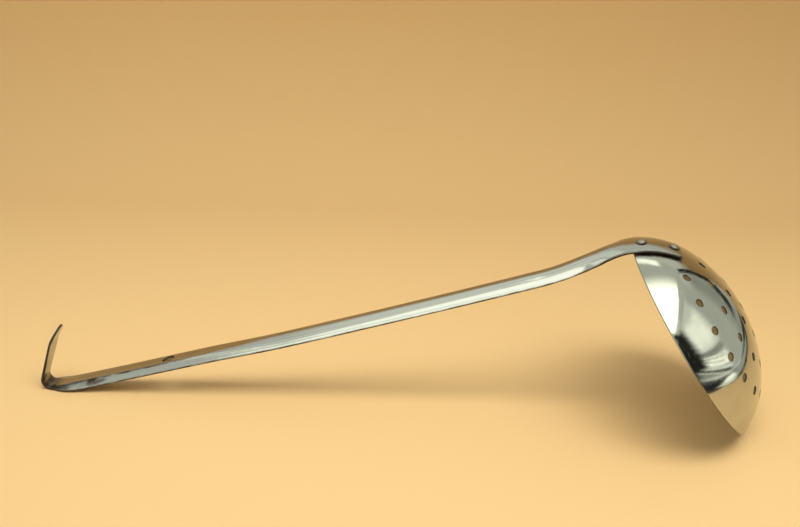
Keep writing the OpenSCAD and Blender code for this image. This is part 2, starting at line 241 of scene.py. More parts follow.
class BowlForm:
    """The bowl's outside: a meridian of two arcs that meet smoothly, turned about the
    bowl's axis, and leaned over until its rim touches the table."""

    def __init__(self, sizes):
        self.rim = sizes.diameter / 2
        even = (self.rim**2 + sizes.depth**2) / (2 * sizes.depth)
        self.radii = (sizes.crown_share * even, sizes.wall_share * even)
        self.lean = sizes.lean
        crown = sizes.depth - self.radii[0]
        gap = self.radii[0] - self.radii[1]
        far = math.hypot(self.rim, crown)
        join_cos = (far**2 + gap**2 - self.radii[1]**2) / (2 * gap * far)
        self.join = math.atan2(self.rim, -crown) - math.acos(join_cos)
        self.centres = ((0, crown), (gap * math.sin(self.join), crown + gap * math.cos(self.join)))
        wall_x, wall_z = self.centres[1]
        self.rim_angle = math.atan2(self.rim - wall_x, -wall_z)
        self.crown_length = self.radii[0] * self.join
        self.length = self.crown_length + self.radii[1] * (self.rim_angle - self.join)
        far_x = (wall_x - self.rim) * math.sin(self.lean) + wall_z * math.cos(self.lean)
        self.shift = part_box("bowl")[1].x - far_x - self.radii[1]

    def normal_angle(self, dist):
        """Angle of the normal from the axis at a distance from the deepest point: the
        distance divided by the arc's radius, on from where the arcs join."""
        crown, wall = self.radii
        return np.where(
            dist <= self.crown_length, dist / crown, self.join + (dist - self.crown_length) / wall
        )

    def meridian(self, dist, lift=0):
        """Distance from the axis and height over the rim plane: the arc's centre plus its
        radius and the lift, times the sine and the cosine of the normal's angle."""
        a = self.normal_angle(dist)
        on_crown = dist <= self.crown_length
        (crown_x, crown_z), (wall_x, wall_z) = self.centres
        radius = np.where(on_crown, self.radii[0], self.radii[1]) + lift
        across = np.where(on_crown, crown_x, wall_x) + radius * np.sin(a)
        height = np.where(on_crown, crown_z, wall_z) + radius * np.cos(a)
        return across, height

    def side(self, across, height):
        """X and Z of a point on the handle's side, from the rim's lowest point."""
        s, c = math.sin(self.lean), math.cos(self.lean)
        return -(self.rim + across) * s + height * c, (self.rim + across) * c + height * s

    def place(self, points):
        """Points over the rim plane, turned by the lean and set down on the table."""
        x, y, z = points[..., 0], points[..., 1], points[..., 2]
        s, c = math.sin(self.lean), math.cos(self.lean)
        return np.stack(
            [(x - self.rim) * s + z * c + self.shift, y, (self.rim - x) * c + z * s], axis=-1
        )

    def surface(self, flat):
        """The outside over a flat map, where a point's distance from the middle is its
        distance along the meridian and its direction is its direction round the axis."""
        dist = np.maximum(np.linalg.norm(flat, axis=-1), 1e-9)
        across, height = self.meridian(dist)
        x, y = flat[..., 0] / dist * across, flat[..., 1] / dist * across
        return self.place(np.stack([x, y, height], axis=-1))

    def circle(self, centre, radius, count):
        """Clockwise circle on the sheet round a place of the flat map, whose round
        direction is stretched by the distance over the distance from the axis."""
        theta = -np.arange(count) * FULL_TURN / count
        dist = np.linalg.norm(centre)
        if dist < 1e-9:
            return radius * np.stack([np.cos(theta), np.sin(theta)], axis=1)
        out = centre / dist
        stretch = dist / float(self.meridian(dist)[0])
        round_way = np.array([-out[1], out[0]]) * stretch
        return centre + radius * (np.outer(np.cos(theta), out) + np.outer(np.sin(theta), round_way))


class StripPath:
    """The handle's strip: a path in the middle plane, bent by arcs and lines, and a
    section across it that is folded into a channel or curved to the bowl."""

    def __init__(self, sizes, bowl):
        self.sizes = sizes
        self.bowl = bowl
        tab_start = bowl.length - sizes.tab
        self.lift = self.tab_lift(tab_start) + sizes.thickness
        stretches = self.tab_stretches(tab_start)
        self.rim_dist = sum(piece[0] for piece in stretches)
        start = float(bowl.normal_angle(tab_start)) + bowl.lean + math.pi / 2
        self.slope = self.solve_slope()
        stretches += self.run_stretches()
        self.lay_out(start, tab_start, stretches)

    def tab_lift(self, tab_start):
        """Height of the tab's underside over the bowl at the middle, so that its edges,
        which are bent more than the bowl, stay clear of it."""
        s, bowl = self.sizes, self.bowl
        rim_cross = bowl.rim / math.sin(bowl.rim_angle)
        end_cross = float(bowl.meridian(tab_start)[0] / np.sin(bowl.normal_angle(tab_start)))
        at_rim = sag(s.width / 2, s.tab_cross) - sag(s.width / 2, rim_cross)
        at_end = sag(s.tab_width / 2, s.tab_cross) - sag(s.tab_width / 2, end_cross)
        return s.tab_gap + max(at_rim, at_end, 0)

    def tab_stretches(self, tab_start):
        """Lengths and curvatures along the tab: the bowl's arcs, raised by the lift."""
        crown, wall = self.bowl.radii
        rows = []
        if tab_start < self.bowl.crown_length:
            on_crown = self.bowl.crown_length - tab_start
            rows.append((on_crown * (1 + self.lift / crown), 1 / (crown + self.lift)))
        on_wall = self.bowl.length - max(tab_start, self.bowl.crown_length)
        rows.append((on_wall * (1 + self.lift / wall), 1 / (wall + self.lift)))
        return rows

    def solve_slope(self):
        """Slope of the run that brings the heel down to the table: the height that is left
        under the bends, divided by the run's chord, is the slope's sine. It is found by
        putting each answer back in."""
        s, bowl = self.sizes, self.bowl
        across, height = bowl.meridian(bowl.length, self.lift)
        rim_z = bowl.side(float(across), float(height))[1]
        rim_heading = bowl.rim_angle + bowl.lean - math.pi / 2
        half_bow = s.run_bow / 2
        chord = s.run * math.sin(half_bow) / half_bow
        slope = math.radians(15)
        for _ in range(24):
            neck = slope + s.neck_rise
            left = rim_z - s.crest_radius * (math.cos(rim_heading) - math.cos(neck))
            left -= s.neck * math.sin(neck)
            left -= s.sweep_radius * (math.cos(slope + half_bow) - math.cos(neck))
            left -= self.heel_height(slope - half_bow)
            slope = math.asin(left / chord)
        return slope

    def heel_height(self, slope):
        """Height of the run's end, where the heel's bend or the lowest point of the
        folded sides touches the table."""
        s = self.sizes
        before = s.fade * (1 - np.linspace(0, 1, FADE_STEPS)) ** 1.5
        bow = s.run / s.run_bow
        tilt = slope + before / bow
        climb = bow * (math.cos(slope) - np.cos(tilt))
        depth = self.side_depth(before)
        bend = s.heel_radius + s.thickness - s.heel_radius * math.cos(slope)
        return max(bend, float(np.max(depth * np.cos(tilt) - climb)))

    def side_depth(self, before):
        """Depth of the folded side under the top face, at distances before the heel."""
        s = self.sizes
        half = self.run_width(before) / 2
        web, fold = s.web / s.width, 2 * s.fold / s.width
        full = self.fold_left(before) * s.fold_angle
        q = (np.arange(DEPTH_PARTS) + 0.5) / DEPTH_PARTS
        slope = full * np.clip((q[:, None] - web) / fold, 0, 1)
        at_edge = full * np.clip((1 - web) / fold, 0, 1)
        return s.thickness * np.cos(at_edge) + half * np.mean(np.sin(slope), axis=0)

    def run_stretches(self):
        """Lengths and curvatures of the bends and straight stretches after the rim. A
        curvature is positive where the path turns down towards the hook."""
        s = self.sizes
        rim = self.bowl.rim_angle + self.bowl.lean - math.pi / 2
        neck = self.slope + s.neck_rise
        crest_turn = neck - rim
        sweep_turn = s.neck_rise - s.run_bow / 2
        heel_turn = math.pi / 2 + s.hook_lean + self.slope - s.run_bow / 2
        self.blade = s.hook - s.hook_width / 2 - s.tip_bend_radius * s.tip_bend
        rows = [
            (s.crest_radius * crest_turn, 1 / s.crest_radius),
            (s.neck, 0),
            (s.sweep_radius * sweep_turn, -1 / s.sweep_radius),
            (s.run, -s.run_bow / s.run),
            (s.heel_radius * heel_turn, -1 / s.heel_radius),
            (self.blade, 0),
            (s.tip_bend_radius * s.tip_bend, -1 / s.tip_bend_radius),
            (s.hook_width / 2, 0),
        ]
        ends = self.rim_dist + np.cumsum([row[0] for row in rows])
        self.heel_dist = ends[3]
        self.hook_dist = ends[4]
        self.round_dist = ends[6]
        self.end_dist = ends[7]
        return rows

    def lay_out(self, heading, tab_start, stretches):
        """The path in small steps: the heading is the sum of the curvatures, and the
        place is the sum of the heading's cosine and sine."""
        counts = [max(2, int(round(row[0] / PATH_STEP))) for row in stretches]
        step = np.concatenate([np.full(n, row[0] / n) for n, row in zip(counts, stretches)])
        bend = np.concatenate([np.full(n, row[1]) for n, row in zip(counts, stretches)])
        turned = np.concatenate([[0], np.cumsum(step * bend)]) + heading
        middle = (turned[1:] + turned[:-1]) / 2
        across, height = self.bowl.meridian(tab_start, self.lift)
        x, z = self.bowl.side(float(across), float(height))
        self.dist = np.concatenate([[0], np.cumsum(step)])
        self.heading = turned
        self.x = x + self.bowl.shift + np.concatenate([[0], np.cumsum(step * np.cos(middle))])
        self.z = z + np.concatenate([[0], np.cumsum(step * np.sin(middle))])

    def run_width(self, before):
        """Width of the strip at a distance before the heel."""
        s = self.sizes
        taper = s.flat_stretch + s.round_stretch
        wide = mix(s.end_width, s.width, np.clip(before / taper, 0, 1))
        return mix(wide, s.heel_width, ease((s.narrow - before) / (s.narrow + s.heel_radius)))

    def fold_left(self, before):
        """Share of the fold that is left at a distance before the heel."""
        return 1 - (1 - np.clip(before / self.sizes.fade, 0, 1)) ** 2

    def base_half(self, dist):
        """Half the strip's width along the path, without its corners and round end."""
        s = self.sizes
        on_tab = mix(s.tab_width, s.width, ease(dist / self.rim_dist))
        up_hook = np.clip((dist - self.hook_dist) / self.blade, 0, 1)
        on_hook = mix(s.heel_width, s.hook_width, up_hook)
        on_run = self.run_width(self.heel_dist - dist)
        past_rim = np.where(dist < self.hook_dist, on_run, on_hook)
        return np.where(dist < self.rim_dist, on_tab, past_rim) / 2

    def half(self, dist):
        """Half the strip's width, drawn in along the tab's corners and the round end."""
        s = self.sizes
        corner = np.clip(s.tab_corner - dist, 0, s.tab_corner)
        tip = np.clip(dist - self.round_dist, 0, s.hook_width / 2)
        return self.base_half(dist) - sag(corner, s.tab_corner) - sag(tip, s.hook_width / 2)

    def slope_across(self, dist, q):
        """Slope of the section at a share q of the half width: the fold's angle over the
        fold's width, plus the tab's curve across the bowl."""
        s = self.sizes
        spread = ease((dist - self.rim_dist) / s.flatten)
        rounded = ease((self.heel_dist - s.flat_stretch - dist) / s.round_stretch)
        channel = spread * self.fold_left(self.heel_dist - dist)
        web = mix(s.web, s.round_web, rounded) / s.width
        fold = mix(s.fold, s.round_fold, rounded) * 2 / s.width
        cross = self.base_half(dist) / s.tab_cross * (1 - spread)
        return channel * s.fold_angle * np.clip((q - web) / fold, 0, 1) + cross * q

    def surface(self, flat):
        """The top face over a flat map of distance along the path and distance across
        the strip. Across, the place is the sum of the slope's cosine and sine."""
        dist, across = flat[..., 0], flat[..., 1]
        held = np.clip(dist, 0, self.end_dist)
        q = np.abs(across) / np.maximum(self.base_half(held), 1e-9)
        parts = (np.arange(SECTION_PARTS) + 0.5) / SECTION_PARTS
        slope = self.slope_across(held[..., None], q[..., None] * parts)
        side = across * np.mean(np.cos(slope), axis=-1)
        down = np.abs(across) * np.mean(np.sin(slope), axis=-1)
        heading = np.interp(held, self.dist, self.heading)
        x = np.interp(held, self.dist, self.x) - down * np.sin(heading)
        z = np.interp(held, self.dist, self.z) + down * np.cos(heading)
        over = dist - held
        return np.stack([x + over * np.cos(heading), -side, z + over * np.sin(heading)], axis=-1)

    def lines(self, step):
        """Distances along the path, closer together where it bends or folds sharply."""
        marks = np.array([0, self.heel_dist - 6 * MM, self.hook_dist + 2 * MM, self.end_dist])
        rows = []
        for low, high, gap in zip(marks[:-1], marks[1:], (2.2 * step, 0.55 * step, step)):
            rows.append(np.linspace(low, high, max(2, int((high - low) / gap)), endpoint=False))
        return np.concatenate(rows + [[self.end_dist]])

    def outline(self, step):
        """Loop round the strip: out along one edge, round the tip and back along the other."""
        s = self.sizes
        corner = s.tab_corner * (1 - np.cos(np.linspace(0, math.pi / 2, CORNER_POINTS)))
        body = self.lines(step)
        body = body[(body > s.tab_corner * 1.05) & (body < self.round_dist - 0.2 * step)]
        quarter = np.linspace(0, math.pi / 2, TIP_POINTS)
        tip = self.round_dist + s.hook_width / 2 * np.sin(quarter)
        side = np.concatenate([corner, body, tip])
        edge = np.stack([side, self.half(side)], axis=1)
        flat_half = float(self.half(np.array([0.0]))[0])
        end = np.linspace(flat_half, -flat_half, int(2 * flat_half / step) + 2)[1:-1]
        return np.concatenate(
            [edge * (1, -1), edge[::-1][1:], np.stack([end * 0, end], axis=1)]
        )


def edge_rows(thickness, radius):
    """A rounded edge from the top face to the underside: inset from the edge, depth under
    the top face, and tilt of the normal. Both corners are quarter circles."""
    tilt = np.linspace(0, math.pi / 2, EDGE_STEPS + 1)
    inset, depth = radius * (1 - np.sin(tilt)), radius * (1 - np.cos(tilt))
    top = np.stack([inset, depth, tilt], axis=1)
    under = np.stack([inset, thickness - depth, math.pi - tilt], axis=1)[::-1]
    return np.concatenate([top, under])


def outward(loop):
    """Directions in the flat map that point off the sheet, square to a closed loop."""
    along = unit(np.roll(loop, -1, axis=0) - np.roll(loop, 1, axis=0))
    return np.stack([along[:, 1], -along[:, 0]], axis=1)


def face_normals(surface, flat):
    """Places and unit normals of a surface, from its slopes along both directions."""
    along = surface(flat + (NUDGE, 0)) - surface(flat - (NUDGE, 0))
    across = surface(flat + (0, NUDGE)) - surface(flat - (0, NUDGE))
    return surface(flat), unit(np.cross(along, across))


def fill(loops, inner):
    """Triangles between the loops' points and the inner points of a flat map. The first
    loop is the outline. A triangle with all its corners on one hole's loop closes that
    hole, so it is left out."""
    points = np.concatenate(loops + [inner])
    starts = np.cumsum([0] + [len(loop) for loop in loops])
    label = np.full(len(points), -1)
    edges = []
    for index, (low, high) in enumerate(zip(starts[:-1], starts[1:])):
        label[low:high] = index
        after = np.append(np.arange(low + 1, high), low)
        edges.append(np.stack([np.arange(low, high), after], axis=1))
    found = delaunay_2d_cdt(
        [Vector(p) for p in points / MM], np.concatenate(edges).tolist(), [], 1, 1e-6
    )
    source = np.array([row[0] for row in found[3]])
    triangles = source[np.array(found[2])]
    corner = label[triangles]
    on_hole = (corner[:, 0] > 0) & (corner == corner[:, :1]).all(axis=1)
    return triangles[~on_hole]


def sheet_piece(name, surface, outline, holes, inner, thickness, edge_radius, punch_radius, darkening):
    """A closed sheet of even thickness: the top face and the underside are filled over the
    same flat map, and rounded edges join them along the outline and round each hole. The
    darkening, in part painted shade, is a function of the flat map."""
    loops = [outline] + holes
    radii = [edge_radius] + [punch_radius] * len(holes)
    vertices, normals, flats, faces, rims, cuts, sides = [], [], [], [], [], [], []
    count = 0
    for loop, radius in zip(loops, radii):
        rows = edge_rows(thickness, radius)
        off = outward(loop)
        inset, depth, tilt = rows[:, 0], rows[:, 1], rows[:, 2]
        flat = loop[None] - off[None] * inset[:, None, None]
        place, normal = face_normals(surface, flat)
        side = unit(surface(flat + off * NUDGE) - surface(flat - off * NUDGE))
        side = unit(side - normal * np.sum(side * normal, axis=-1, keepdims=True))
        bent = normal * np.cos(tilt)[:, None, None] + side * np.sin(tilt)[:, None, None]
        size = len(loop)
        vertices.append((place - normal * depth[:, None, None]).reshape(-1, 3))
        normals.append(bent.reshape(-1, 3))
        flats.append(flat.reshape(-1, 2))
        cuts.append(np.repeat(np.sin(tilt), size))
        sides.append(np.repeat(tilt / math.pi, size))
        row, column = np.meshgrid(np.arange(len(rows) - 1), np.arange(size), indexing="ij")
        here, after = row * size + column, row * size + (column + 1) % size
        quad = np.stack([here, here + size, after + size, after], axis=-1)
        faces += (quad.reshape(-1, 4) + count).tolist()
        rims.append((count, count + (len(rows) - 1) * size, size, flat[0]))
        count += len(rows) * size
    triangles = fill([rim[3] for rim in rims], inner)
    top = np.concatenate([np.arange(rim[2]) + rim[0] for rim in rims])
    under = np.concatenate([np.arange(rim[2]) + rim[1] for rim in rims])
    place, normal = face_normals(surface, inner)
    vertices += [place, place - normal * thickness]
    normals += [normal, -normal]
    flats += [inner, inner]
    cuts.append(np.zeros(2 * len(inner)))
    sides.append(np.repeat([0.0, 1.0], len(inner)))
    top = np.concatenate([top, count + np.arange(len(inner))])
    under = np.concatenate([under, count + len(inner) + np.arange(len(inner))])
    faces += top[triangles].tolist() + under[triangles[:, ::-1]].tolist()
    flat = np.concatenate(flats)
    edge = edge_distance(flat, loops) / MM
    points = {"edge": edge, "cut": np.concatenate(cuts), "under": np.concatenate(sides)}
    # Darkening, in part painted shade, is left off the underside.
    points["darkening"] = darkening(flat) * (1 - points["under"])
    return make_piece(name, np.concatenate(vertices), faces, np.concatenate(normals), flat, points)


def edge_distance(flat, loops):
    """Distance in the flat map from each point to the nearest point of any loop."""
    marks = np.concatenate(loops)
    nearest = [
        np.sqrt(((part[:, None] - marks[None]) ** 2).sum(axis=-1).min(axis=1))
        for part in np.array_split(flat, max(1, len(flat) // 500))
    ]
    return np.concatenate(nearest)


def clear_of(points, loops, gap):
    """The points that are outside the round loops and at least gap away from them."""
    centres = np.array([loop.mean(axis=0) for loop in loops])
    reach = np.array([np.linalg.norm(loop - loop.mean(axis=0), axis=1).max() for loop in loops])
    away = np.linalg.norm(points[:, None] - centres, axis=-1)
    return points[(away > reach + gap).all(axis=1)]


def make_piece(name, vertices, faces, normals, flat, points):
    """Mesh object with smooth shading from exact normals, a map called sheet that holds the
    flat coordinates in millimetres, and named values for each point: edge is its distance
    from an edge in millimetres, cut is how far it is on a cut edge, under how far it is
    on the underside, and darkening how much its colour is darkened, in part as painted shade."""
    mesh = bpy.data.meshes.new(name)
    mesh.from_pydata(vertices, [], faces)
    mesh.polygons.foreach_set("use_smooth", np.ones(len(mesh.polygons), bool))
    corner = np.zeros(len(mesh.loops), np.int32)
    mesh.loops.foreach_get("vertex_index", corner)
    layer = mesh.uv_layers.new(name="sheet")
    layer.data.foreach_set("uv", (flat[corner] / MM).astype(np.float32).ravel())
    for key, values in points.items():
        attribute = mesh.attributes.new(key, "FLOAT", "POINT")
        attribute.data.foreach_set("value", values.astype(np.float32))
    mesh.validate()
    mesh.normals_split_custom_set_from_vertices(normals.astype(np.float32))
    piece = bpy.data.objects.new(name, mesh)
    bpy.context.scene.collection.objects.link(piece)
    return piece


class Wire:
    """One value in a material. Python's operators on it add Math nodes."""

    def __init__(self, finish, socket):
        self.finish = finish
        self.socket = socket

    def maths(self, operation, first, second):
        return self.finish.node("ShaderNodeMath", {"operation": operation}, {0: first, 1: second})

    def __add__(self, other):
        return self.maths("ADD", self, other)

    def __radd__(self, other):
        return self.maths("ADD", other, self)

    def __sub__(self, other):
        return self.maths("SUBTRACT", self, other)

    def __rsub__(self, other):
        return self.maths("SUBTRACT", other, self)

    def __mul__(self, other):
        return self.maths("MULTIPLY", self, other)

    def __rmul__(self, other):
        return self.maths("MULTIPLY", other, self)


class Finish:
    """A material that is put together from nodes."""

    def __init__(self, name):
        self.material = bpy.data.materials.new(name)
        self.material.use_nodes = True
        self.tree = self.material.node_tree
        self.tree.nodes.clear()

    def node(self, kind, settings, values, output=0):
        """Adds a node. Its settings are set first. Values go to its sockets by name or
        number, as links or as numbers."""
        made = self.tree.nodes.new(kind)
        for key, value in settings.items():
            setattr(made, key, value)
        for key, value in values.items():
            if isinstance(value, Wire):
                self.tree.links.new(value.socket, made.inputs[key])
            else:
                made.inputs[key].default_value = value
        return Wire(self, made.outputs[output]) if len(made.outputs) else None

    def value(self, key):
        """The number that the mesh keeps under a name for each point."""
        return self.node("ShaderNodeAttribute", {"attribute_name": key}, {}, output=2)

    def noise(self, vector, scale, detail, roughness):
        """Noise from 0 to 1 over a vector."""
        values = {"Vector": vector, "Scale": scale, "Detail": detail, "Roughness": roughness}
        return self.node("ShaderNodeTexNoise", {"noise_dimensions": "3D"}, values)

    def stretch(self, vector, scale, turn=0.0):
        """A vector turned about Z and then scaled along each axis."""
        turned = self.node(
            "ShaderNodeVectorRotate", {"rotation_type": "Z_AXIS"}, {"Vector": vector, "Angle": turn}
        )
        return self.node("ShaderNodeVectorMath", {"operation": "MULTIPLY"}, {0: turned, 1: scale})

    def ramp(self, value, low, high):
        """0 below low, 1 above high, and straight between them."""
        values = {"Value": value, "From Min": low, "From Max": high}
        return self.node("ShaderNodeMapRange", {"clamp": True}, values)

    def blend(self, part, first, second):
        """Colour that goes from the first to the second."""
        first, second = ((*c, 1) if isinstance(c, tuple) else c for c in (first, second))
        values = {0: part, 6: first, 7: second}
        return self.node("ShaderNodeMix", {"data_type": "RGBA"}, values, output=2)

    def surface(self, shader):
        """Ends the material with a shader."""
        self.node("ShaderNodeOutputMaterial", {}, {"Surface": shader})
        return self.material


# How a steel was polished: the grooves' closeness along and across the sheet, per
# millimetre, then the heights in millimetres of the grooves, of the broad lines and of the
# waves, and how much the broad lines darken it.
Grain = namedtuple("Grain", "way groove line wave tone")
BOWL_GRAIN = Grain((0.5, 0.5, 1), 0.004, 0.02, 0.03, 0.1)
STRIP_GRAIN = Grain((0.02, 3.0, 1), 0.004, 0.06, 0.02, 0.45)
RIVET_GRAIN = Grain((0.8, 0.8, 1), 0.01, 0.02, 0.02, 0.1)

# Closeness of the waves, clouds and spots, per metre. Then, for two sets of scratches,
# their closeness per millimetre, the angle they are turned by, and the noise they start at.
WAVES, CLOUDS, SPOTS = 60.0, 95.0, 900.0
SCRATCHES = (((0.12, 9.0, 1), 0.5, 0.735), ((9.0, 0.15, 1), 0.9, 0.745))
SCRATCH_DEPTH = 0.004


def darker(tint, part):
    """A colour times a number."""
    return tuple(c * part for c in tint)


def polished_steel(name, tint, polish, grain, looks):
    """Old polished sheet steel. Fine polishing grooves run one way across the sheet, broad
    waves and small dents bend the reflections, and rubbed patches, scratches and greasy
    spots by the edges change its polish and colour. Painted shade darkens the underside,
    the cut edges and their roundings, and some of the places that darkening marks."""
    finish = Finish(name)
    tint = tuple(tint)
    sheet = finish.node("ShaderNodeUVMap", {"uv_map": "sheet"}, {})
    edge, cut, under, darkening = (finish.value(key) for key in ("edge", "cut", "under", "darkening"))
    place = finish.node("ShaderNodeTexCoord", {}, {}, output=3)

    grooves = finish.noise(finish.stretch(sheet, grain.way), 1.0, 4.0, 0.62)
    broad_way = (grain.way[0] * 0.25, grain.way[1] * 0.25, 1)
    lines = finish.noise(finish.stretch(sheet, broad_way), 1.0, 3.0, 0.55)
    waves = finish.noise(place, WAVES, 1.0, 0.4)
    cloud = finish.noise(place, CLOUDS, 4.0, 0.6)
    spots = finish.noise(place, SPOTS, 2.0, 0.5)
    first, second = (
        finish.ramp(finish.noise(finish.stretch(sheet, way, turn), 1.0, 1.0, 0.4), low, low + 0.03)
        for way, turn, low in SCRATCHES
    )
    scratches = first + second

    rubbed = finish.ramp(cloud, 0.42, 0.72)
    greasy = finish.ramp(spots, 0.62, 0.8) * (1 - finish.ramp(edge, 0.2, 2.6))
    bright_edge = 1 - finish.ramp(edge, 0.0, 0.45)
    # Darkening of the colour, in part painted shade: the shadow along the tab's edges and round the
    # rivets.
    darkened = darkening * (0.35 + finish.ramp(cloud, 0.3, 0.6))
    streaks = finish.ramp(lines, 0.5, 0.66) * grain.tone

    rough = polish + rubbed * ((looks.wear - looks.polish) * 0.45) + under * 0.16
    rough = rough + scratches * 0.12 + greasy * 0.22 + bright_edge * 0.06
    rough = rough + finish.ramp(lines, 0.45, 0.75) * 0.05 + cut * 0.22 + darkening * 0.25
    shade = finish.blend(rubbed * 0.18, tint, darker(tint, 0.86))
    shade = finish.blend(streaks, shade, darker(tint, 0.5))
    # Painted shade: the underside is darker.
    shade = finish.blend(under * 0.7, shade, darker(tint, 0.55))
    shade = finish.blend(greasy * 0.5, shade, tuple(looks.grime_and_shade))
    # Painted shade and other dark marks, from the darkening values.
    shade = finish.blend(darkened, shade, darker(looks.grime_and_shade, 0.3))
    # Painted shade: the cut edges and their roundings go near black.
    shade = finish.blend(cut * 0.9, shade, tuple(looks.cut))
    relief = grooves * grain.groove + lines * grain.line + waves * grain.wave
    relief = relief - scratches * SCRATCH_DEPTH
    bumped = finish.node("ShaderNodeBump", {}, {"Strength": 1.0, "Distance": MM, "Height": relief})
    values = {"Base Color": shade, "Metallic": 1.0, "Roughness": rough, "Normal": bumped}
    return finish.surface(finish.node("ShaderNodeBsdfPrincipled", {}, values))


def plain_finish(name, tint, roughness):
    """A plain matt stage colour. The camera sees through it from its back, so that the
    stage never hides the ladle."""
    finish = Finish(name)
    values = {"Base Color": (*tint, 1), "Roughness": roughness, "Specular IOR Level": 0.2}
    front = finish.node("ShaderNodeBsdfPrincipled", {}, values)
    back = finish.node("ShaderNodeBsdfTransparent", {}, {})
    behind = finish.node("ShaderNodeNewGeometry", {}, {}, output=6)
    seen = finish.node("ShaderNodeLightPath", {}, {}, output=0)
    values = {0: behind * seen, 1: front, 2: back}
    return finish.surface(finish.node("ShaderNodeMixShader", {}, values))


def dress(piece, node, material):
    """Gives a piece its material, ties it to the body, and hides the CAD node that it replaces."""
    piece.data.materials.append(material)
    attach(piece, "root")
    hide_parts(node)


def rivet_places(rivets, bowl):
    """Distances of the two rivets from the deepest point, along the outside."""
    rim_rivet = bowl.length - rivets.near
    return {"rim_rivet": rim_rivet, "tab_rivet": rim_rivet - rivets.gap}


def drain_places(sizes, handle, bowl):
    """Places of the drain holes on the flat map: rings at a steady pitch, each with a step
    more holes than the last and one on the near side. Those under the tab are left out."""
    places = [np.zeros((1, 2))]
    for ring in range(1, sizes.drain_rings + 1):
        count = ring * sizes.drain_step
        turn = math.pi / 2 + np.arange(count) * FULL_TURN / count
        dist = ring * sizes.drain_pitch
        across = float(bowl.meridian(dist)[0])
        reach = (handle.tab_width + sizes.drain_diameter) / 2
        covered = (
            (np.cos(turn) < 0)
            & (bowl.length - dist < handle.tab + sizes.drain_diameter / 2)
            & (np.abs(across * np.sin(turn)) < reach)
        )
        places.append(dist * np.stack([np.cos(turn), np.sin(turn)], axis=1)[~covered])
    return np.concatenate(places)


class LADLE_OT_bowl(bpy.types.Operator):
    """Makes the bowl: a sheet over the turned meridian, with its drain holes"""

    bl_idname = "ladle.bowl"
    bl_label = "Bowl"

    COLLAR_GAPS = (0.22 * MM, 0.6 * MM)

    def execute(self, context):
        scene = context.scene
        sizes, rivets = scene.ladle_bowl, scene.ladle_rivets
        bowl = BowlForm(sizes)
        hole, step = sizes.drain_diameter / 2, sizes.mesh_step
        centres = drain_places(sizes, scene.ladle_handle, bowl)
        holes = [bowl.circle(centre, hole, DRAIN_POINTS) for centre in centres]
        shank = rivets.shank / 2 + sizes.punch_radius * 0.3
        for dist in rivet_places(rivets, bowl).values():
            holes.append(bowl.circle(np.array([-dist, 0.0]), shank, RIVET_HOLE_POINTS))
        rim_count = int(FULL_TURN * sizes.diameter / 2 / step)
        theta = np.arange(rim_count) * FULL_TURN / rim_count
        outline = bowl.length * np.stack([np.cos(theta), np.sin(theta)], axis=1)
        inner = self.rings(bowl.length - sizes.edge_radius - step * 0.8, step)
        inner = clear_of(inner, holes, step * 0.9)
        collars = []
        for loop in holes:
            middle = loop.mean(axis=0)
            reach = np.linalg.norm(loop[0] - middle) + sizes.punch_radius
            collars += [bowl.circle(middle, reach + gap, DRAIN_POINTS) for gap in self.COLLAR_GAPS]
        inner = np.concatenate([inner] + collars)
        inside = bowl.length - sizes.edge_radius - 0.4 * MM
        inner = inner[np.linalg.norm(inner, axis=1) < inside]
        piece = sheet_piece(
            "perforated_bowl", bowl.surface, outline, holes, inner, sizes.thickness,
            sizes.edge_radius, sizes.punch_radius, self.bowl_darkening(scene.ladle_handle, bowl),
        )
        looks = scene.ladle_steel
        steel = polished_steel("bowl_polish", looks.bowl, looks.polish, BOWL_GRAIN, looks)
        dress(piece, "bowl", steel)
        return {"FINISHED"}

    @staticmethod
    def bowl_darkening(handle, bowl):
        """Painted shadow along the tab's edges on the bowl, 1 under the tab and fading out beside
        it, and darker, duller steel over the part that lies on the table."""

        def darkening(flat):
            on_tab = flat[:, 0] + bowl.length
            half = mix(handle.width, handle.tab_width, np.clip(on_tab / handle.tab, 0, 1)) / 2
            beside = (np.abs(bowl.surface(flat)[:, 1]) - half) / MM
            beyond = (on_tab - handle.tab) / MM
            # Painted shadow in the gap along the tab's edges.
            tab_shadow = (1 - ease((beside - 1.7) / 1.2)) * (1 - ease((beyond - 0.2) / 0.8))
            # Darker and duller towards the part on the table.
            low = ease((flat[:, 0] / bowl.length - 0.5) / 0.3)
            return np.maximum(tab_shadow, 0.35 * low)

        return darkening

    @staticmethod
    def rings(reach, step):
        """Points on circles a step apart, each with points about a step apart."""
        rows = []
        radii = np.linspace(0, reach, int(reach / step) + 1)[1:]
        for index, radius in enumerate(radii):
            count = max(6, int(FULL_TURN * radius / step))
            turn = (np.arange(count) + 0.5 * (index % 2)) * FULL_TURN / count
            rows.append(radius * np.stack([np.cos(turn), np.sin(turn)], axis=1))
        return np.concatenate(rows)


